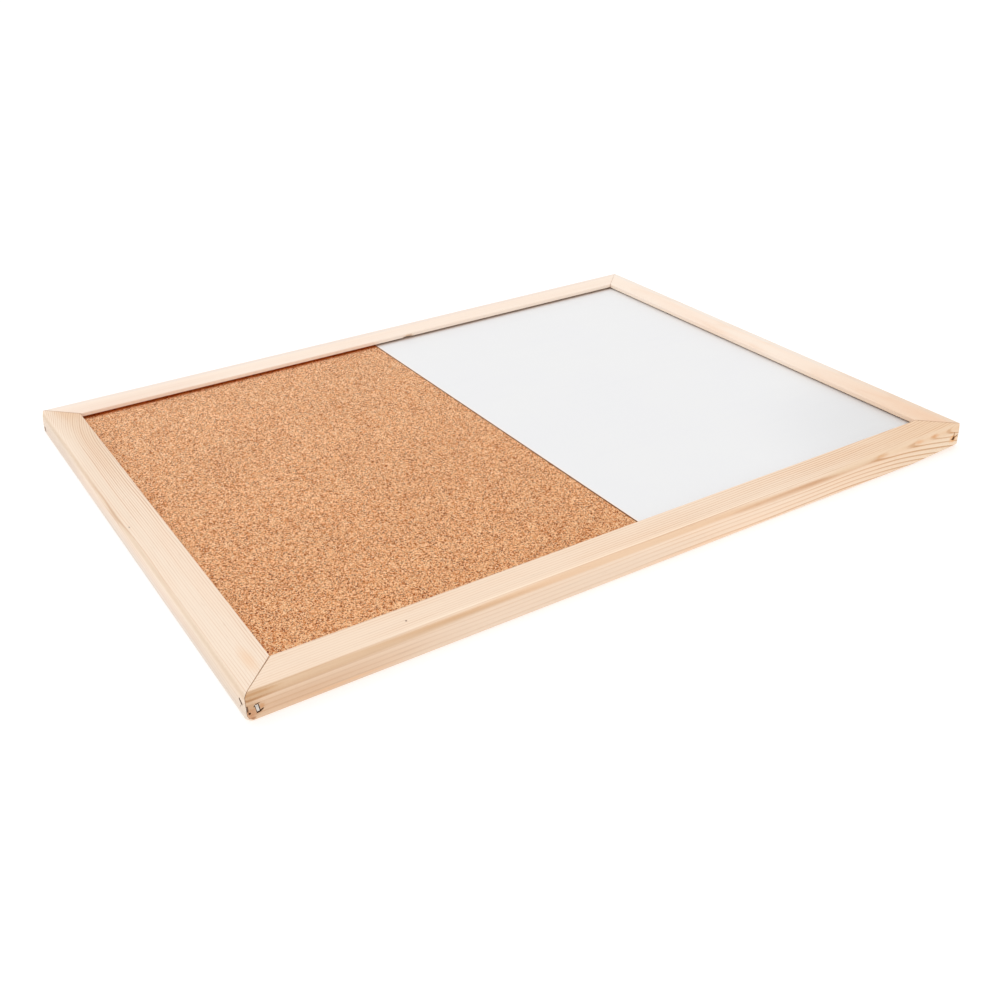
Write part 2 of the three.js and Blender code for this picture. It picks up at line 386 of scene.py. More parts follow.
def makePine(name, place, turn, half, wood, holes):
    material, tree, shader = startMaterial(name)
    here = measured(tree, place, (0, 0, turn))
    along, inward, level = addNode(tree, "SeparateXYZ", {0: here}).outputs

    # Distance from the pith, which wanders slowly along the grain
    wander = noise(tree, stretched(tree, here, (0.011, 0.05, 0.05), wood["seed"]), output="Color")
    wander = shift(tree, "SUBTRACT", wander, (0.5, 0.5, 0.5))
    wander = shift(tree, "MULTIPLY", wander, (0, wood["wander"], wood["wander"]))
    spot = shift(tree, "ADD", here, wander)
    pith = {"Vector": spot, "Location": (0, *wood["pith"]), "Rotation": (0, *wood["lean"])}
    spot = addNode(tree, "Mapping", pith, vector_type="TEXTURE").outputs[0]
    spot = shift(tree, "MULTIPLY", spot, (0, 1, 1))
    radius = addNode(tree, "VectorMath", {0: spot}, operation="LENGTH").outputs["Value"]

    # Towards an end the grain runs out of the rail
    for start, end, reach in wood["runOut"]:
        share = calc(tree, "POWER", remap(tree, along, start, end, way="LINEAR"), 2.0)
        radius = calc(tree, "ADD", radius, calc(tree, "MULTIPLY", share, reach))

    # Rings of uneven width and darkness
    uneven = addNode(tree, "TexNoise", {"W": radius, "Scale": 0.22, "Detail": 1.0}, noise_dimensions="1D")
    rings = calc(tree, "DIVIDE", radius, wood["ringWidth"])
    rings = calc(tree, "ADD", rings, calc(tree, "MULTIPLY", uneven.outputs["Fac"], wood["uneven"]))
    rings = calc(tree, "ADD", rings, wood["phase"])
    luck = addNode(tree, "TexWhiteNoise", {"W": calc(tree, "FLOOR", rings)}, noise_dimensions="1D")
    late = ramp(tree, calc(tree, "FRACT", rings), (
        (0.0, grey(0.2)), (0.08, grey(0.0)), (0.62, grey(0.10)), (0.86, grey(1.0)), (0.94, grey(1.0)),
        (1.0, grey(0.2))))
    late = calc(tree, "MULTIPLY", late, remap(tree, luck.outputs[0], 0.0, 1.0, 0.55, 1.0, "LINEAR"))

    # Fine fibres, and soft patches that are warmer or cooler
    fibres = noise(tree, stretched(tree, here, (0.05, 2.2, 2.2)), 4.0, 0.65)
    patches = noise(tree, stretched(tree, here, (0.012, 0.11, 0.11), wood["seed"]), 3.0)
    strength = remap(tree, patches, 0.3, 0.7, wood["lateFaint"], wood["lateStrong"])
    onTop = remap(tree, inward, *pine["topStarts"])
    onFace = calc(tree, "SUBTRACT", 1.0, onTop)
    for start, end, topShare, faceShare in wood["bolder"]:
        top = calc(tree, "MULTIPLY", onTop, remap(tree, along, start, end, 1.0, topShare))
        face = calc(tree, "MULTIPLY", onFace, remap(tree, along, start, end, 1.0, faceShare))
        strength = calc(tree, "MULTIPLY", strength, calc(tree, "ADD", top, face))
    late = calc(tree, "MINIMUM", calc(tree, "MULTIPLY", late, strength), 1.0)
    color = blend(tree, late, wood["early"], wood["late"])
    color = blend(tree, remap(tree, patches, 0.35, 0.75, 0.0, wood["warmth"]), color, wood["warm"])
    color = blend(tree, 1.0, color, ramp(tree, fibres, (
        (0.25, grey(wood["fibre"])), (0.5, grey(1.0)), (0.75, grey(1.0)))), "MULTIPLY")

    # Short brown dashes of resin canals
    canals = noise(tree, stretched(tree, here, (0.16, 3.1, 3.1), (7, 3, 5)), 1.0)
    canals = remap(tree, canals, 0.70, 0.76, 0.0, wood["canals"])
    color = blend(tree, canals, color, pine["canalTone"])

    # A darker line along each mitre
    for side, strength in zip((-1, 1), wood["joints"]):
        left = calc(tree, "SUBTRACT", half, calc(tree, "MULTIPLY", along, side))
        left = calc(tree, "SUBTRACT", left, inward)
        share = remap(tree, left, *pine["jointWide"], strength, 0.0)
        color = blend(tree, share, color, pine["jointTone"])

    # Stains, knots, bruises and multiplied tints at their places, some of them painted shade, then painted
    # shade in the holes below the surface
    ragged = noise(tree, stretched(tree, here, (1.4, 1.4, 1.4)), 3.0, output="Color")
    ragged = shift(tree, "SUBTRACT", ragged, (0.5, 0.5, 0.5))
    for mark in wood["marks"]:
        inputs = {"Vector": here, "Location": mark["place"], "Scale": mark["reach"]}
        inside = addNode(tree, "Mapping", inputs, vector_type="TEXTURE").outputs[0]
        torn = (mark["ragged"],) * 3
        inside = shift(tree, "ADD", inside, shift(tree, "MULTIPLY", ragged, torn))
        away = addNode(tree, "VectorMath", {0: inside}, operation="LENGTH").outputs["Value"]
        share = remap(tree, away, mark["soft"], 1.0, mark["share"], 0.0)
        color = blend(tree, share, color, mark["color"], mark["way"])

    # How far a point lies below the outer face and its rounded edge
    above = calc(tree, "MAXIMUM", calc(tree, "SUBTRACT", level, pine["arcFoot"]), 0.0)
    chord = calc(tree, "SUBTRACT", pine["arcSize"] ** 2, calc(tree, "MULTIPLY", above, above))
    chord = calc(tree, "SQRT", calc(tree, "MAXIMUM", chord, 0.0))
    below = calc(tree, "ADD", calc(tree, "SUBTRACT", inward, pine["arcSize"]), chord)
    hollow = calc(tree, "MULTIPLY", below, 0.0)
    for hole in holes:
        inputs = {"Vector": here, "Location": (hole["place"][0], 0, hole["place"][1]),
                  "Rotation": (0, math.radians(hole["lean"]), 0), "Scale": holeSize(hole)}
        inside = addNode(tree, "Mapping", inputs, vector_type="TEXTURE").outputs[0]
        parts = addNode(tree, "SeparateXYZ", {0: shift(tree, "ABSOLUTE", inside, (0, 0, 0))}).outputs
        share = remap(tree, calc(tree, "MAXIMUM", parts[0], parts[2]), 1.15, 1.4, hole["dark"], 0.0)
        hollow = calc(tree, "MAXIMUM", hollow, share)
    hollow = calc(tree, "MULTIPLY", hollow, remap(tree, below, *pine["holeShadeStarts"]))
    # Painted shade darkens the holes and cracks below the surface
    color = blend(tree, hollow, color, pine["holeShade"])

    height = calc(tree, "ADD", calc(tree, "MULTIPLY", late, 0.5), calc(tree, "MULTIPLY", fibres, 0.8))
    roughness = remap(tree, fibres, 0.2, 0.8, 0.72, 0.56, "LINEAR")
    finishSurface(tree, shader, color, roughness, height, pine["grain"], 0.35)
    tree.links.new(remap(tree, hollow, 0.0, 1.0, 0.3, 0.0), shader.inputs["Specular IOR Level"])
    return material


# Rails: one moulding, mitred, with a fastener or two through each end.
# Along a rail, x 0 is its middle, y 0 its outer face and z 0 its back.

moulding = {
    "width": 18 * mm,
    "lip": 2.2 * mm,
    "backLip": 3.6 * mm,
    "groove": 6 * mm,
    "topRound": 3 * mm,
    "backRound": 1.8 * mm,
    "lipRound": 0.4 * mm,
    "edgeRound": 0.25 * mm,
    "cornerSteps": 5,
    "supportStep": 0.35 * mm,
    "spare": 2 * mm,
    "footSlopes": (0.7, 1.4),
}

# How far the broken wood of a hole strays from its plain shape
brokenWood = {"pit": 0.12 * mm, "slot": 0.08 * mm, "outside": 1 * mm}

# Corners: gaps at the outer and inner end of the mitre, the round of the upright edge, and flats
# sanded on it, as distances from the corner along the long and the short rail. The brow is one
# more flat, which leans, and the wear takes the lower edge of the front.
corners = {
    "near": {"gap": (0.12 * mm, 0.34 * mm), "round": 1.8 * mm, "flats": (), "foot": 3.4 * mm},
    "right": {"gap": (0.07 * mm, 0.13 * mm), "round": 2.8 * mm, "foot": 2.5 * mm,
              "flats": ((1.0 * mm, 34 * mm), (5.2 * mm, 4.4 * mm)), "wear": (38 * mm, 0.06)},
    "far": {"gap": (0.02 * mm, 0.10 * mm), "round": 2.4 * mm, "flats": (), "foot": 0},
    "left": {"gap": (0.03 * mm, 0.15 * mm), "round": 1.4 * mm, "flats": (), "foot": 4.8 * mm,
             "brow": (2.4 * mm, 8.0 * mm, 0.12)},
}

rails = {
    "rail_front": {
        "slot": "pine_front",
        "quarter": 0,
        "corners": ("near", "right"),
        "wood": {
            "pith": (52.0, -24.0), "lean": (0.0, 0.002), "wander": 1.2, "ringWidth": 1.16,
            "seed": (3, 1, 4), "uneven": 0.3, "phase": 0.27,
            "runOut": ((105.0, 200.0, 5.0),), "joints": (0.0, 0.5),
            "bolder": ((-60.0, 60.0, 1.6, 1.0), (40.0, 110.0, 1.3, 1.75), (125.0, 150.0, 0.8, 1.4),
                       (20.0, -50.0, 1.0, 0.7), (-110.0, -180.0, 0.8, 0.9)),
            "early": tone(250, 226, 202), "late": tone(208, 160, 118),
            "lateFaint": 0.34, "lateStrong": 0.8,
            "warm": tone(250, 214, 182), "warmth": 0.35, "fibre": 0.94, "canals": 0.2,
            "marks": (
                multiplyMark((-210.0, 1.1, 11.3), (172.0, 2.15, 2.5), 0.6, 0.05, 0.8, tone(227, 211, 190)),
                multiplyMark((-25.0, 1.3, 11.9), (150.0, 2.0, 2.0), 0.5, 0.05, 0.8, tone(245, 230, 213)),
                multiplyMark((80.0, 0.6, 11.1), (60.0, 2.0, 1.8), 0.4, 0.2, 0.85, tone(240, 225, 211)),
                multiplyMark((-100.0, -1.0, 5.0), (170.0, 3.0, 10.0), 0.5, 0.1, 1.0, tone(245, 243, 242)),
                multiplyMark((-40.0, 3.4, 13.0), (160.0, 1.1, 1.5), 0.4, 0.1, 0.9, tone(263, 266, 267)),
                multiplyMark((205.0, -1.0, 5.0), (120.0, 3.0, 10.0), 0.3, 0.1, 1.0, tone(257, 269, 281)),
                multiplyMark((-205.0, -1.0, 5.0), (130.0, 3.0, 10.0), 0.2, 0.1, 0.8, tone(226, 206, 184)),
                multiplyMark((-200.0, 1.1, 11.3), (18.0, 2.5, 2.8), 0.45, 0.2, 0.5, tone(231, 217, 195)),
                multiplyMark((-200.0, 0.9, 12.0), (21.0, 0.9, 0.8), 0.2, 0.35, 1.0, tone(238, 222, 205)),
                multiplyMark((-200.0, 0.1, 10.2), (19.0, 0.8, 0.8), 0.2, 0.35, 1.0, tone(236, 220, 203)),
                multiplyMark((-200.0, 0.0, 6.0), (9.5, 3.0, 6.5), 0.3, 0.5, 0.9, tone(231, 221, 205)),
                stain((-160.0, 0.0, 2.4), (36.0, 1.5, 1.0), 0.1, 0.5, 0.4, tone(240, 182, 130)),
                stain((10.0, 0.0, 2.0), (60.0, 1.5, 1.0), 0.1, 0.5, 0.25, tone(246, 190, 140)),
                # Painted shade: the right end darker and warmer, towards the near right corner
                multiplyMark((210.0, 6.0, 6.0), (150.0, 40.0, 40.0), 0.1, 0.1, 0.8, tone(245, 231, 212)),
                stain((118.0, 1.0, 12.2), (26.0, 1.9, 1.7), 0.4, 0.3, 0.75, tone(240, 210, 178)),
                stain((170.0, 1.0, 12.2), (50.0, 1.9, 1.7), 0.6, 0.3, 0.35, tone(240, 208, 174)),
                stain((158.0, 2.4, 12.9), (62.0, 1.9, 1.5), 0.5, 0.3, 0.8, tone(243, 213, 182)),
                stain((138.0, 1.0, 11.9), (6.5, 1.6, 1.3), 0.1, 0.4, 0.5, tone(222, 162, 104)),
                stain((165.0, 1.0, 11.9), (5.0, 1.6, 1.3), 0.1, 0.4, 0.5, tone(230, 160, 100)),
                stain((177.0, 1.0, 11.9), (4.5, 1.6, 1.3), 0.1, 0.4, 0.5, tone(226, 154, 92)),
                stain((-127.6, 8.7, 13.0), (0.65, 0.6, 1.0), 0.3, 0.6, 0.95, tone(104, 66, 44)),
                stain((-193.5, 0.0, 6.1), (1.4, 2.0, 1.5), 0.3, 0.6, 0.65, tone(206, 148, 98)),
                stain((-198.0, 0.0, 4.0), (3.2, 2.0, 3.6), 0.3, 0.9, 0.45, tone(206, 142, 102)),
                stain((-198.0, 0.3, 1.9), (2.4, 2.0, 0.8), 0.3, 0.9, 0.75, tone(164, 106, 66)),
                stain((191.0, 0.0, 7.0), (3.8, 2.0, 3.3), 0.2, 0.7, 0.7, tone(240, 170, 96)),
            ),
        },
        "damage": (
            flaw("slot", (-195.25, 5.4), (1.7, 3.8, 1.2), 0.9, -8),
            flaw("crack", (-194.0, 4.3), (0.8, 2.6, 1.0), 0.9, 62),
            flaw("crack", (-196.2, 7.3), (0.5, 1.8, 0.8), 0.9, 40),
            flaw("crack", (-195.1, 7.7), (0.45, 2.0, 0.6), 0.8, 80),
            flaw("pit", (-199.2, 6.5), (0.35, 1.2, 1.1), 0.8),
            flaw("pit", (-198.5, 4.45), (0.45, 0.9, 0.5), 0.9),
            flaw("pit", (191.3, 7.0), (1.1, 2.2, 1.1), 0.8),
            flaw("crack", (191.3, 8.7), (0.6, 3.8, 1.0), 0.6, 6),
            flaw("crack", (192.9, 7.8), (0.6, 3.8, 0.9), 0.6, 68),
            flaw("crack", (190.2, 6.9), (0.6, 2.2, 0.9), 0.5, 80),
        ),
    },
    "rail_right": {
        "slot": "pine_pale",
        "quarter": 1,
        "lip": 2.45 * mm,
        "corners": ("right", "far"),
        "wood": {
            "pith": (8.0, -38.0), "lean": (0.045, 0.02), "wander": 5.0, "ringWidth": 2.1,
            "seed": (9, 2, 6), "uneven": 1.0, "phase": 0.0,
            "runOut": (), "bolder": (), "joints": (0.5, 0.1),
            "early": tone(255, 237, 220), "late": tone(246, 212, 182),
            "lateFaint": 0.1, "lateStrong": 0.4,
            "warm": tone(252, 220, 196), "warmth": 0.4, "fibre": 0.97, "canals": 0.08,
            "marks": (
                # Painted shade: the near end darker and warmer, towards the near right corner
                multiplyMark((-160.0, 9.0, 9.0), (155.0, 40.0, 40.0), 0.1, 0.1, 0.8, tone(242, 222, 202)),
                multiplyMark((0.0, 3.0, 13.4), (400.0, 4.2, 2.6), 0.35, 0.1, 0.9, tone(249, 256, 262)),
            ),
        },
        "damage": (
            flaw("slot", (-144.0, 5.65), (1.3, 4.1, 1.4), 0.9, 4),
            flaw("slot", (145.2, 7.8), (1.3, 4.1, 1.5), 0.9, -5),
        ),
    },
    "rail_back": {
        "slot": "pine_pale",
        "quarter": 2,
        "corners": ("far", "left"),
        "wood": {
            "pith": (-35.0, -60.0), "lean": (0.01, 0.012), "wander": 3.0, "ringWidth": 1.9,
            "seed": (5, 8, 2), "uneven": 1.0, "phase": 0.0,
            "runOut": (), "bolder": (), "joints": (0.1, 0.5),
            "early": tone(254, 236, 219), "late": tone(249, 220, 196),
            "lateFaint": 0.05, "lateStrong": 0.35,
            "warm": tone(252, 226, 208), "warmth": 0.3, "fibre": 0.98, "canals": 0.05,
            "marks": (
                multiplyMark((150.0, 14.0, 13.0), (75.0, 9.0, 4.0), 0.3, 0.1, 0.9, tone(251, 247, 245)),
                multiplyMark((0.0, 3.0, 13.4), (400.0, 4.2, 2.6), 0.35, 0.1, 0.9, tone(248, 250, 255)),
                stain((-23.0, 18.0, 11.4), (5.0, 2.5, 1.6), 0.2, 0.9, 0.7, tone(206, 160, 112)),
            ),
        },
        "damage": (
            flaw("slot", (-193.4, 6.8), (1.3, 4.1, 1.0), 0.9, 0),
            flaw("slot", (194.6, 6.3), (1.3, 4.1, 1.1), 0.9, 6),
            flaw("tear", (-22.5, 10.9), (3.4, 1.3, 0.7), 0),
        ),
    },
    "rail_left": {
        "slot": "pine_front",
        "quarter": 3,
        "corners": ("left", "near"),
        "wood": {
            "pith": (60.0, -20.0), "lean": (0.0, 0.004), "wander": 2.0, "ringWidth": 0.95,
            "seed": (2, 7, 1), "uneven": 0.4, "phase": 0.0,
            "runOut": ((-85.0, -150.0, 11.6),), "joints": (0.5, 0.0),
            "bolder": ((20.0, -15.0, 1.7, 1.0), (-15.0, -50.0, 1.15, 0.3), (-60.0, -110.0, 0.7, 0.3),
                       (30.0, 70.0, 0.75, 0.6), (80.0, 110.0, 1.3, 1.0)),
            "early": tone(251, 231, 210), "late": tone(206, 160, 120),
            "lateFaint": 0.3, "lateStrong": 0.8,
            "warm": tone(250, 216, 188), "warmth": 0.35, "fibre": 0.95, "canals": 0.2,
            "marks": (
                multiplyMark((0.0, 0.9, 11.9), (400.0, 1.8, 1.5), 0.2, 0.5, 0.85, tone(237, 231, 223)),
                multiplyMark((0.0, -2.0, 3.0), (400.0, 4.0, 11.0), 0.3, 0.2, 1.0, tone(239, 241, 249)),
                multiplyMark((0.0, -1.0, 0.5), (400.0, 3.0, 4.5), 0.3, 0.2, 0.9, tone(249, 260, 272)),
                multiplyMark((-120.0, -1.0, 8.0), (75.0, 3.0, 10.0), 0.4, 0.1, 1.0, tone(241, 239, 238)),
                multiplyMark((135.0, -1.0, 7.0), (85.0, 3.0, 13.0), 0.4, 0.1, 1.0, tone(246, 245, 243)),
                stain((-60.0, 4.6, 13.0), (110.0, 2.8, 3.0), 0.4, 0.2, 0.6, tone(246, 225, 203)),
                multiplyMark((-140.0, 13.0, 13.0), (20.0, 9.0, 4.0), 0.2, 0.2, 0.8, tone(251, 240, 228)),
                multiplyMark((-120.0, 14.5, 13.0), (110.0, 12.0, 6.0), 0.1, 0.1, 0.6, tone(240, 228, 214)),
                stain((5.3, 2.7, 12.9), (0.7, 0.5, 0.6), 0.4, 0.6, 0.85, tone(104, 92, 84)),
                stain((130.0, 10.0, 13.0), (14.0, 4.0, 2.0), 0.1, 0.5, 0.4, tone(244, 196, 150)),
            ),
        },
        "damage": (
            flaw("slot", (145.7, 8.0), (1.8, 3.2, 1.2), 0.95, -60),
            flaw("pit", (144.7, 5.3), (0.5, 0.9, 0.5), 0.8),
            flaw("slot", (-142.2, 4.3), (2.2, 3.2, 1.2), 0.95, 0),
        ),
    },
}


# A tool of the given kind for the outer face of a rail, in the rail's own frame
def damageTool(damage):
    along, level = [part * mm for part in damage["place"]]
    if damage["kind"] in ("pit", "tear"):
        inward = moulding["width"] if damage["kind"] == "tear" else 0
        bpy.ops.object.select_all(action="DESELECT")
        bpy.ops.mesh.primitive_ico_sphere_add(subdivisions=3, radius=mm, location=(along, inward, level))
        tool = bpy.context.object
        tool.scale = damage["size"]
        settle(tool)
        startEdit(tool)
        bpy.ops.transform.vertex_random(offset=brokenWood["pit"], seed=4)
        endEdit()
        return tool
    wide, tall, deep = [part * mm for part in damage["size"]]
    low = (-wide / 2, -brokenWood["outside"], -tall / 2)
    tool = addBlock(damage["kind"], low, (wide / 2, deep, tall / 2))
    startEdit(tool)
    bpy.ops.mesh.subdivide(number_cuts=3)
    if damage["kind"] == "crack":
        pick("VERT", lambda vert: near(vert.co.y, deep))
        bpy.ops.transform.resize(value=(0.2, 1, 0.7), center_override=(0, deep, 0))
        pick("VERT", lambda vert: near(abs(vert.co.z), tall / 2))
        bpy.ops.transform.resize(value=(0.2, 1, 1), center_override=(0, 0, 0))
    bpy.ops.mesh.select_all(action="SELECT")
    bpy.ops.transform.vertex_random(offset=brokenWood["slot"], seed=2)
    endEdit()
    tool.rotation_euler = (0, math.radians(damage["lean"]), 0)
    tool.location = (along, 0, level)
    settle(tool)
    return tool


def addMoulding(name, length, lip):
    width, height, support = moulding["width"], cadBox[1].z, moulding["supportStep"]
    wall = width - moulding["groove"]
    top, back = moulding["topRound"], moulding["backRound"]
    length += 2 * moulding["spare"]
    bpy.ops.object.select_all(action="DESELECT")
    bpy.ops.mesh.primitive_plane_add(size=1, location=(-length / 2, width / 2, height / 2),
                                     rotation=(0, math.radians(90), 0))
    rail = bpy.context.object
    rail.name = name
    rail.scale = (height, width, 1)
    settle(rail)

    # The section, with its groove and rounded edges
    startEdit(rail)
    cutAlong((0, 0, moulding["backLip"]), (0, 0, 1))
    cutAlong((0, 0, height - lip), (0, 0, 1))
    cutAlong((0, wall, 0), (0, 1, 0))
    pick("FACE", lambda face: middle(face).y > wall
         and moulding["backLip"] < middle(face).z < height - lip)
    bpy.ops.mesh.delete(type="FACE")
    bpy.ops.mesh.select_all(action="SELECT")
    bpy.ops.mesh.dissolve_limited(angle_limit=math.radians(1))
    rounds = (
        (0, height, top, 12),
        (0, 0, back, 8),
        (width, height, moulding["lipRound"], 5),
        (width, height - lip, moulding["edgeRound"], 3),
        (width, moulding["backLip"], moulding["edgeRound"], 3),
        (width, 0, moulding["edgeRound"], 3),
    )
    for y, z, radius, steps in rounds:
        pick("VERT", lambda vert: near(vert.co.y, y) and near(vert.co.z, z))
        bpy.ops.mesh.bevel(offset=radius, segments=steps, affect="VERTICES")
    bpy.ops.mesh.select_all(action="SELECT")
    extrude(length, 0, 0)

    # Loops beside the rounded edges keep the flats flat
    cutAlong((0, top + support, 0), (0, 1, 0))
    cutAlong((0, width - moulding["lipRound"] - support, 0), (0, 1, 0))
    cutAlong((0, 0, height - top - support), (0, 0, 1))
    cutAlong((0, 0, back + support), (0, 0, 1))
    return rail


def mitre(length, rail):
    width, steps = moulding["width"], moulding["cornerSteps"]
    half = length / 2
    for side, name in zip((-1, 1), rail["corners"]):
        corner = corners[name]
        outerGap, innerGap = corner["gap"]
        opening = (innerGap - outerGap) * math.sqrt(2)
        place = (side * (half - outerGap * math.sqrt(2)), 0, 0)
        cutAlong(place, (side * width, width + opening, 0), use_fill=True, clear_outer=True)

        # The upright edge is sanded flat in places, then round
        for long, short in corner["flats"]:
            own, other = (short, long) if rail["quarter"] % 2 else (long, short)
            cutAlong((side * (half - own), 0, 0), (side * other, -own, 0), use_fill=True, clear_outer=True)
        for step in range(steps):
            angle = math.radians(45 * (step + 0.5) / steps)
            facing = Vector((side * math.sin(angle), -math.cos(angle), 0))
            centre = Vector((side * (half - corner["round"]), corner["round"], 0))
            cutAlong(centre + corner["round"] * facing, facing, use_fill=True, clear_outer=True)
        if corner["foot"]:
            for drop in moulding["footSlopes"]:
                place = (side * half - side * corner["foot"], 0, 0)
                cutAlong(place, (side, -1, -drop), use_fill=True, clear_outer=True)
        if "brow" in corner:
            long, short, lean = corner["brow"]
            own, other = (short, long) if rail["quarter"] % 2 else (long, short)
            place = (side * (half - own), 0, cadBox[1].z)
            facing = (side * other, -own, lean * math.hypot(own, other))
            cutAlong(place, facing, use_fill=True, clear_outer=True)
        if "wear" in corner:
            reach, slope = corner["wear"]
            place = (side * (half - reach), moulding["backRound"] * (2 - math.sqrt(2)), 0)
            cutAlong(place, (side * slope, -1, -1), use_fill=True, clear_outer=True)


def makeRail(name, rail):
    size = cadBox[1] - cadBox[0]
    sideways = rail["quarter"] % 2 == 1
    length, across = (size.y, size.x) if sideways else (size.x, size.y)
    piece = addMoulding(name + "_wood", length, rail.get("lip", moulding["lip"]))
    mitre(length, rail)
    bpy.ops.mesh.select_all(action="SELECT")
    bpy.ops.mesh.normals_make_consistent(inside=False)
    endEdit()
    for damage in rail["damage"]:
        cutWith(piece, damageTool(damage))
    turn = math.radians(90 * rail["quarter"])
    place = Matrix.Rotation(turn, 3, "Z") @ Vector((0, -across / 2, 0))
    piece.rotation_euler = (0, 0, turn)
    piece.location = place
    settle(piece)
    holes = [damage for damage in rail["damage"] if damage["dark"] > 0]
    return piece, makePine(name + "_pine", place, turn, length / 2 / mm, rail["wood"], holes)


woodPieces = {}
for railName, railSettings in rails.items():
    woodPieces[railName] = makeRail(railName, railSettings)
    print("rail made:", railName, len(woodPieces[railName][0].data.vertices))


# Toothed hangers in recesses of the top rail, and their nails

hanger = {
    "width": 5.4 * mm,
    "play": 0.3 * mm,
    "seat": 0.05 * mm,
    "tooth": (1.5 * mm, 1.2 * mm),
    "toothGap": 0.01 * mm,
    "teeth": 7,
    "cut": 4 * mm,
    "below": 1 * mm,
    "endShare": 0.98,
    "hole": 0.75 * mm,
    "nailInset": 3.2 * mm,
    "edge": 0.14 * mm,
}

pocket = {
    "near": 138.4 * mm,
    "far": 145.9 * mm,
    "deep": 4.0 * mm,
    "reach": 14.25 * mm,
    "endShare": 0.49,
}

nail = {
    "head": 1.5 * mm,
    "thick": 0.6 * mm,
    "domeShare": 0.7,
    "shank": 0.65 * mm,
    "point": 1.6 * mm,
    "tip": 0.08 * mm,
}


def makeSteel(name, base, rough, dirtAndShade, streak):
    material, tree, shader = startMaterial(name)
    here = measured(tree)
    clouds = noise(tree, stretched(tree, here, (0.7, 0.7, 0.7)), 4.0, 0.6)
    lines = noise(tree, stretched(tree, here, streak), 3.0, 0.6)
    color = blend(tree, remap(tree, clouds, 0.45, 0.75, 0.0, 0.5), base, dirtAndShade)
    color = blend(tree, remap(tree, lines, 0.3, 0.7, 0.0, 0.2), color, grey(0.9))
    roughness = remap(tree, lines, 0.2, 0.8, rough - 0.1, rough + 0.12, "LINEAR")
    shader.inputs["Metallic"].default_value = 1.0
    finishSurface(tree, shader, color, roughness, lines, 0.02 * mm, 0.3)
    return material


def makeHanger(name, material):
    low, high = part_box(name)
    radius, play = hanger["width"] / 2, hanger["play"]
    centre = (low + high) / 2
    plate = addBar(name + "_plate", low, high, radius * hanger["endShare"])

    # Notches along the lower edge, one tool repeated
    reach, depth = hanger["tooth"]
    first = centre.x - 2 * reach * (hanger["teeth"] // 2)
    bpy.ops.object.select_all(action="DESELECT")
    bpy.ops.mesh.primitive_cylinder_add(vertices=4, radius=1, depth=hanger["cut"],
                                        location=(first, low.y, centre.z))
    tooth = bpy.context.object
    tooth.scale = (reach, depth, 1)
    settle(tooth)
    finishWith(tooth, "ARRAY", count=hanger["teeth"], use_relative_offset=False, use_constant_offset=True,
               constant_offset_displace=(2 * reach + hanger["toothGap"], 0, 0))
    cutWith(plate, tooth)

    # A hole for each nail
    for place in (low.x + hanger["nailInset"], high.x - hanger["nailInset"]):
        bpy.ops.object.select_all(action="DESELECT")
        bpy.ops.mesh.primitive_cylinder_add(vertices=24, radius=hanger["hole"], depth=hanger["cut"],
                                            location=(place, centre.y, centre.z))
        cutWith(plate, bpy.context.object)
    softenEdges(plate, hanger["edge"])
    dress(plate, name, material)

    # The recess for the plate, and the pocket behind its teeth for a nail's head
    rail = woodPieces["rail_back"][0]
    recess = addBar("recess", (low.x - play, low.y - play, -hanger["below"]),
                    (high.x + play, high.y + play, high.z + hanger["seat"]),
                    radius + play * hanger["endShare"])
    hollow = addBar("hollow", (centre.x - pocket["reach"], pocket["near"], -hanger["below"]),
                    (centre.x + pocket["reach"], pocket["far"], pocket["deep"]),
                    (pocket["far"] - pocket["near"]) * pocket["endShare"])
    cutWith(rail, recess)
    cutWith(rail, hollow)


def makeNail(name, material):
    low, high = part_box(name)
    centre = (low + high) / 2
    bpy.ops.object.select_all(action="DESELECT")
    bpy.ops.mesh.primitive_cylinder_add(vertices=32, radius=nail["head"], depth=nail["thick"],
                                        location=(centre.x, centre.y, low.z + nail["thick"] / 2))
    piece = bpy.context.object
    piece.name = name + "_steel"
    settle(piece)
    startEdit(piece)
    pick("FACE", lambda face: face.normal.z < -0.5)
    bpy.ops.mesh.bevel(offset=nail["thick"] * nail["domeShare"], segments=4)
    pick("FACE", lambda face: face.normal.z > 0.5)
    bpy.ops.mesh.inset(thickness=nail["head"] - nail["shank"])
    extrude(0, 0, high.z - low.z - nail["thick"] - nail["point"])
    extrude(0, 0, nail["point"])
    share = nail["tip"] / nail["shank"]
    bpy.ops.transform.resize(value=(share, share, 1), center_override=(centre.x, centre.y, high.z))
    endEdit()
    dress(piece, name, material, 30)


stapleSteel = makeSteel("stapleSteel", tone(214, 206, 196), 0.3, tone(132, 124, 110), (6, 6, 0.5))
zincPlate = makeSteel("zincPlate", tone(205, 200, 182), 0.36, tone(150, 140, 116), (0.4, 5, 5))
for hangerName in ("hanger_left", "hanger_right"):
    makeHanger(hangerName, zincPlate)
    for side in ("a", "b"):
        makeNail(f"{hangerName}_nail_{side}", stapleSteel)
for railName, (woodPiece, pineMaterial) in woodPieces.items():
    dress(woodPiece, railName, pineMaterial, 32)
print("hangers and nails made")


# Flat-wire staples, modelled once with the crown upright at y 0 and the legs towards +y

staple = {
    "crown": 4 * mm,
    "leg": 14 * mm,
    "wire": 0.6 * mm,
    "width": 1.2 * mm,
    "bend": 0.8 * mm,
    "point": 1.2 * mm,
    "edge": 0.34 * mm,
    "turns": {"front": 0, "right": 1, "back": 2, "left": 3},
    "lean": {"staple_front_left": -8},
}


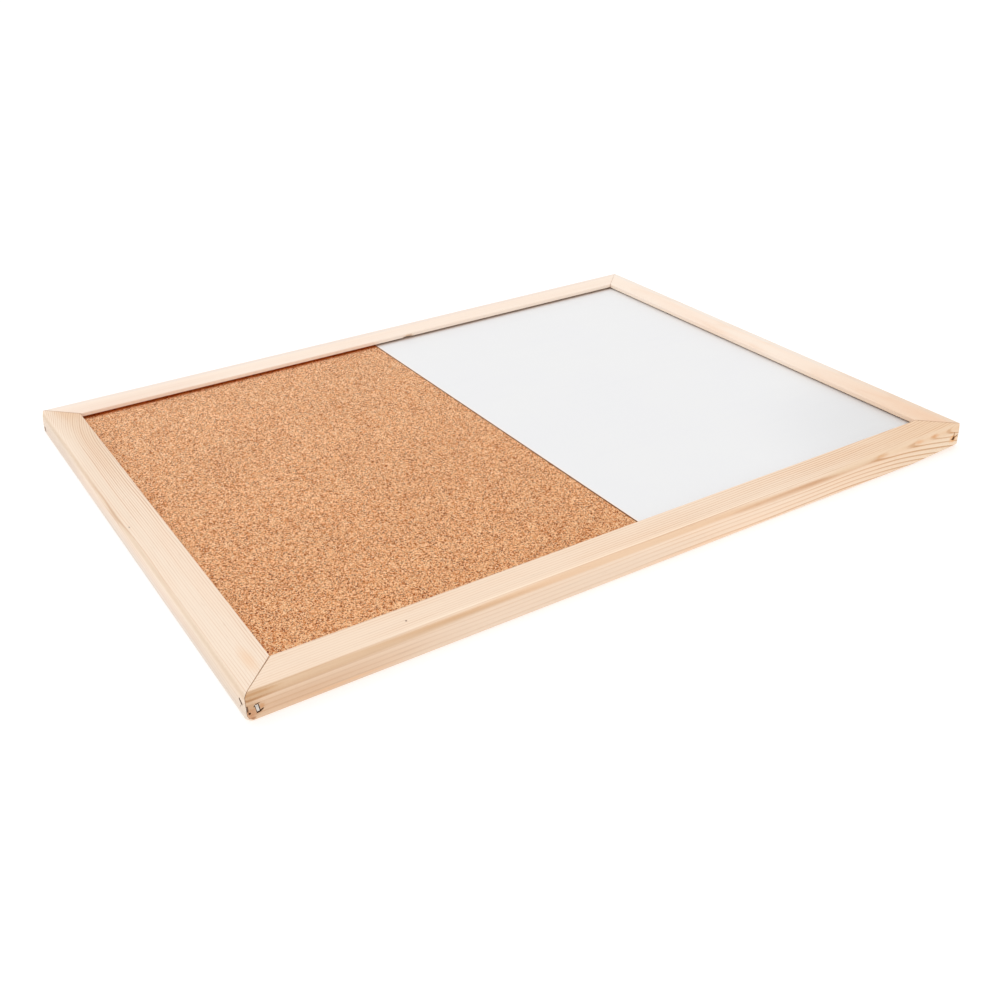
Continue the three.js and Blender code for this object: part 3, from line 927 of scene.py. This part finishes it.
def modelStaple():
    width, wire, half, leg = staple["width"], staple["wire"], staple["crown"] / 2, staple["leg"]
    piece = addBlock("stapleModel", (-width / 2, 0, -half), (width / 2, wire, half))
    startEdit(piece)
    cutAlong((0, 0, half - wire), (0, 0, 1))
    cutAlong((0, 0, wire - half), (0, 0, 1))
    pick("FACE", lambda face: near(middle(face).y, wire) and abs(middle(face).z) > half - wire)
    extrude(0, leg - wire, 0)
    pick("VERT", lambda vert: near(vert.co.y, leg) and near(abs(vert.co.z), half))
    bpy.ops.transform.translate(value=(0, -staple["point"], 0))
    pick("EDGE", lambda edge: near(middle(edge).y, 0) and near(abs(middle(edge).z), half)
         and near(middle(edge).x, 0))
    bpy.ops.mesh.bevel(offset=staple["bend"], segments=6)
    bpy.ops.mesh.select_all(action="SELECT")
    bpy.ops.mesh.normals_make_consistent(inside=False)
    endEdit()
    softenEdges(piece, staple["edge"], 3, 50)
    return piece


def placeStaple(model, name):
    low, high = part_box(name)
    quarter = staple["turns"][name.split("_")[1]]
    turn = math.radians(90 * quarter)
    legWay = Matrix.Rotation(turn, 3, "Z") @ Vector((0, 1, 0))
    piece = model.copy()
    piece.data = model.data.copy()
    piece.name = name + "_wire"
    bpy.context.scene.collection.objects.link(piece)
    piece.rotation_euler = (0, math.radians(staple["lean"].get(name, 0)), turn)
    piece.location = (low + high) / 2 - legWay * staple["leg"] / 2
    settle(piece)
    dress(piece, name, stapleSteel, 40)


stapleModel = modelStaple()
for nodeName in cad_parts:
    if nodeName.startswith("staple_"):
        placeStaple(stapleModel, nodeName)
bpy.data.objects.remove(stapleModel)
print("staples made")


# Cork: a sheet of pressed granules with a rough face

cork = {
    "cell": 0.85 * mm,
    "relief": (
        {"kind": "VORONOI", "grain": 2.2 * mm, "height": 0.05 * mm},
        {"kind": "CLOUDS", "grain": 0.9 * mm, "height": 0.11 * mm},
    ),
    "seamShift": 0.3 * mm,
    "seamFar": 0.08 * mm,
    "seamNear": 0.22 * mm,
    "tones": (
        (0.23, tone(138, 50, 0)), (0.34, tone(192, 106, 50)), (0.45, tone(227, 153, 102)),
        (0.56, tone(244, 182, 130)), (0.67, tone(258, 208, 164)), (0.80, tone(268, 234, 198))),
    "red": tone(232, 148, 92),
    "dark": tone(106, 26, 0),
    "pale": tone(264, 232, 198),
    "nearShade": tone(247, 236, 220),
    "farShade": tone(253, 249, 242),
    "half": 132.0,
    "shade": tone(238, 172, 112),
    "shadeStarts": (130.5, 133.5),
    "grain": 0.16 * mm,
}


def makeCorkMaterial():
    material, tree, shader = startMaterial("corkFace")
    here = measured(tree)
    ragged = noise(tree, stretched(tree, here, (0.9, 0.9, 0.9)), 3.0, 0.6, "Color")
    ragged = shift(tree, "MULTIPLY", shift(tree, "SUBTRACT", ragged, (0.5, 0.5, 0.5)), (1.4, 1.4, 1.4))
    warped = shift(tree, "ADD", here, ragged)
    coarse = cells(tree, stretched(tree, warped, (0.6, 0.6, 0.6)))
    fine = cells(tree, stretched(tree, warped, (2.6, 2.6, 2.6), (3, 1, 0)))
    dust = noise(tree, stretched(tree, here, (4.2, 4.2, 4.2)), 2.0, 0.7)
    level = calc(tree, "MULTIPLY", channel(tree, coarse, 0), 0.04)
    level = calc(tree, "ADD", level, calc(tree, "MULTIPLY", channel(tree, fine, 0), 0.64))
    level = calc(tree, "ADD", level, remap(tree, dust, 0.2, 0.8, 0.0, 0.42, "LINEAR"))
    color = ramp(tree, level, cork["tones"])

    # Redder granules, dark bits of bark and pale specks
    color = blend(tree, remap(tree, channel(tree, coarse, 1), 0.7, 0.95, 0.0, 0.15), color, cork["red"])
    specks = cells(tree, stretched(tree, warped, (2.2, 2.2, 2.2), (9, 4, 2)))
    color = blend(tree, remap(tree, channel(tree, specks, 0), 0.86, 0.89, 0.0, 0.95), color, cork["dark"])
    color = blend(tree, remap(tree, channel(tree, specks, 1), 0.86, 0.89, 0.0, 0.9), color, cork["pale"])
    edges = cells(tree, stretched(tree, warped, (0.6, 0.6, 0.6)), "Distance", "DISTANCE_TO_EDGE")
    color = blend(tree, remap(tree, edges, 0.0, 0.10, 0.05, 0.0), color, cork["dark"])
    drift = noise(tree, stretched(tree, here, (0.02, 0.02, 0.02)), 2.0)
    color = blend(tree, 1.0, color, ramp(tree, drift, ((0.3, grey(0.95)), (0.7, grey(1.0)))), "MULTIPLY")

    # Painted shade: darker and warmer towards the near rail, lighter towards the far one, and darker and
    # redder under the far lip
    upward = addNode(tree, "SeparateXYZ", {0: here}).outputs[1]
    far = remap(tree, upward, -cork["half"], cork["half"], way="LINEAR")
    color = blend(tree, 1.0, color, blend(tree, far, cork["nearShade"], cork["farShade"]), "MULTIPLY")
    color = blend(tree, remap(tree, upward, *cork["shadeStarts"]), color, cork["shade"], "MULTIPLY")

    height = calc(tree, "ADD", channel(tree, fine, 2), calc(tree, "MULTIPLY", dust, 0.8))
    height = calc(tree, "ADD", height, remap(tree, edges, 0.0, 0.15, 0.0, 0.4))
    roughness = remap(tree, dust, 0.2, 0.8, 0.95, 0.80, "LINEAR")
    finishSurface(tree, shader, color, roughness, height, cork["grain"], 0.45)
    shader.inputs["Specular IOR Level"].default_value = 0.0
    return material


def makeCork():
    low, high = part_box("cork_sheet")
    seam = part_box("whiteboard_sheet")[0].x + cork["seamShift"]
    width, length = seam - low.x, high.y - low.y
    depth = sum(layer["height"] for layer in cork["relief"]) / 2
    bpy.ops.object.select_all(action="DESELECT")
    bpy.ops.mesh.primitive_grid_add(
        x_subdivisions=round(width / cork["cell"]), y_subdivisions=round(length / cork["cell"]), size=1,
        location=(low.x + width / 2, (low.y + high.y) / 2, high.z - depth))
    piece = bpy.context.object
    piece.name = "cork_face"
    piece.scale = (width, length, 1)
    settle(piece)
    for number, layer in enumerate(cork["relief"]):
        texture = bpy.data.textures.new(f"corkRelief{number}", layer["kind"])
        texture.noise_scale = layer["grain"]
        finishWith(piece, "DISPLACE", texture=texture, strength=layer["height"], mid_level=0.5,
                   texture_coords="LOCAL", direction="Z")

    # The seam edge is trimmed a little askew, and the sheet gets its thickness
    skew = (cork["seamNear"] - cork["seamFar"]) / length
    startEdit(piece)
    cutAlong((seam - cork["seamNear"], low.y, 0), (1, -skew, 0), clear_outer=True)
    bpy.ops.mesh.select_mode(type="EDGE")
    bpy.ops.mesh.select_all(action="DESELECT")
    bpy.ops.mesh.select_non_manifold(extend=False)
    extrude(0, 0, low.z - high.z)
    bpy.ops.transform.resize(value=(1, 1, 0), center_override=(0, 0, low.z))
    bpy.ops.mesh.edge_face_add()
    bpy.ops.mesh.select_all(action="SELECT")
    bpy.ops.mesh.normals_make_consistent(inside=False)
    endEdit()
    dress(piece, "cork_sheet", makeCorkMaterial(), 60)


makeCork()
print("cork made")


# White sheet, smooth and satin, with a slightly eased edge

white = {
    "edge": 0.14 * mm,
    "steps": 3,
    "face": 9.7,
    "skin": (0.07, 0.11),
    "core": tone(150, 108, 74),
    "plain": (tone(239, 239, 239), tone(238, 238, 239)),
    "wiped": tone(233, 234, 236),
    "cornerShade": tone(242, 242, 242),
    "cornerShadePlace": (190 * mm, -140 * mm, 0),
    "cornerShadeReach": (20.0, 108.0),
    "seamHighlight": tone(246, 238, 233),
    "seamHighlightReach": (0.9, 2.3),
    "dirtAndShade": tone(226, 206, 192),
    "lipShadeFar": (129.0, 133.0),
    "lipShadeRight": (179.0, 184.0),
}


def makeWhiteMaterial():
    material, tree, shader = startMaterial("whiteSatin")
    here = measured(tree)
    clouds = noise(tree, stretched(tree, here, (0.02, 0.02, 0.02)), 3.0)
    wiped = noise(tree, stretched(tree, here, (0.015, 0.25, 0.25), (4, 2, 0)), 4.0, 0.6)
    peel = noise(tree, stretched(tree, here, (0.35, 0.35, 0.35)), 2.0)
    color = blend(tree, remap(tree, clouds, 0.3, 0.7), *white["plain"])
    color = blend(tree, remap(tree, wiped, 0.55, 0.8, 0.0, 0.2), color, white["wiped"])

    # Painted shade: a faint grey cast at the near right corner
    corner = measured(tree, white["cornerShadePlace"])
    away = addNode(tree, "VectorMath", {0: corner}, operation="LENGTH").outputs["Value"]
    color = blend(tree, remap(tree, away, *white["cornerShadeReach"], 1.0, 0.0), color, white["cornerShade"], "MULTIPLY")

    # A painted highlight along the seam, painted shade under two lips, and the brown board below the white
    # skin
    across, upward, level = addNode(tree, "SeparateXYZ", {0: here}).outputs
    color = blend(tree, remap(tree, across, *white["seamHighlightReach"], 1.0, 0.0), color, white["seamHighlight"])
    farLipShade = remap(tree, upward, *white["lipShadeFar"])
    rightLipShade = remap(tree, across, *white["lipShadeRight"], 0.0, 0.3)
    color = blend(tree, calc(tree, "MAXIMUM", farLipShade, rightLipShade), color, white["dirtAndShade"], "MULTIPLY")
    depth = calc(tree, "SUBTRACT", white["face"], level)
    color = blend(tree, remap(tree, depth, *white["skin"]), color, white["core"])
    roughness = remap(tree, wiped, 0.3, 0.7, 0.3, 0.38, "LINEAR")
    finishSurface(tree, shader, color, roughness, peel, 0.02 * mm, 0.05)
    return material


def makeWhite():
    low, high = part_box("whiteboard_sheet")
    piece = addBlock("white_face", (low.x + cork["seamShift"], low.y, low.z), high)
    startEdit(piece)
    pick("EDGE", lambda edge: near(middle(edge).z, high.z))
    bpy.ops.mesh.bevel(offset=white["edge"], segments=white["steps"])
    pick("FACE", lambda face: face.normal.z > 0.9999)
    bpy.ops.mesh.inset(thickness=white["edge"])
    endEdit()
    dress(piece, "whiteboard_sheet", makeWhiteMaterial(), 50)


makeWhite()
print("white sheet made")


# Backing of brown hardboard, with the print of a wire screen on its back

backing = {
    "edge": 0.25 * mm,
    "screen": 1.6,
    "grain": 0.25 * mm,
    "tones": ((0.25, tone(96, 62, 38)), (0.5, tone(142, 98, 62)), (0.8, tone(176, 130, 88))),
    "clouded": tone(118, 78, 48),
}


def makeHardboard():
    material, tree, shader = startMaterial("hardboardBrown")
    here = measured(tree)
    fibres = noise(tree, stretched(tree, here, (0.8, 0.8, 0.8)), 5.0, 0.7)
    clouds = noise(tree, stretched(tree, here, (0.03, 0.03, 0.03)), 3.0)
    color = ramp(tree, fibres, backing["tones"])
    color = blend(tree, remap(tree, clouds, 0.35, 0.7, 0.0, 0.35), color, backing["clouded"])
    parts = addNode(tree, "SeparateXYZ", {0: here})
    turns = 2 * math.pi / backing["screen"]
    ribs = [calc(tree, "SINE", calc(tree, "MULTIPLY", parts.outputs[axis], turns)) for axis in (0, 1)]
    screen = calc(tree, "MULTIPLY", ribs[0], ribs[1])
    height = calc(tree, "ADD", calc(tree, "MULTIPLY", screen, 0.5), fibres)
    roughness = remap(tree, fibres, 0.2, 0.8, 0.9, 0.7, "LINEAR")
    finishSurface(tree, shader, color, roughness, height, backing["grain"], 0.7)
    shader.inputs["Specular IOR Level"].default_value = 0.25
    return material


def makeBacking():
    low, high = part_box("backing_board")
    piece = addBlock("backing_face", low, high)
    startEdit(piece)
    pick("FACE", lambda face: abs(face.normal.z) > 0.9)
    bpy.ops.mesh.inset(thickness=2 * backing["edge"])
    endEdit()
    softenEdges(piece, backing["edge"], 2, 60)
    dress(piece, "backing_board", makeHardboard(), 40)


makeBacking()
print("backing made")
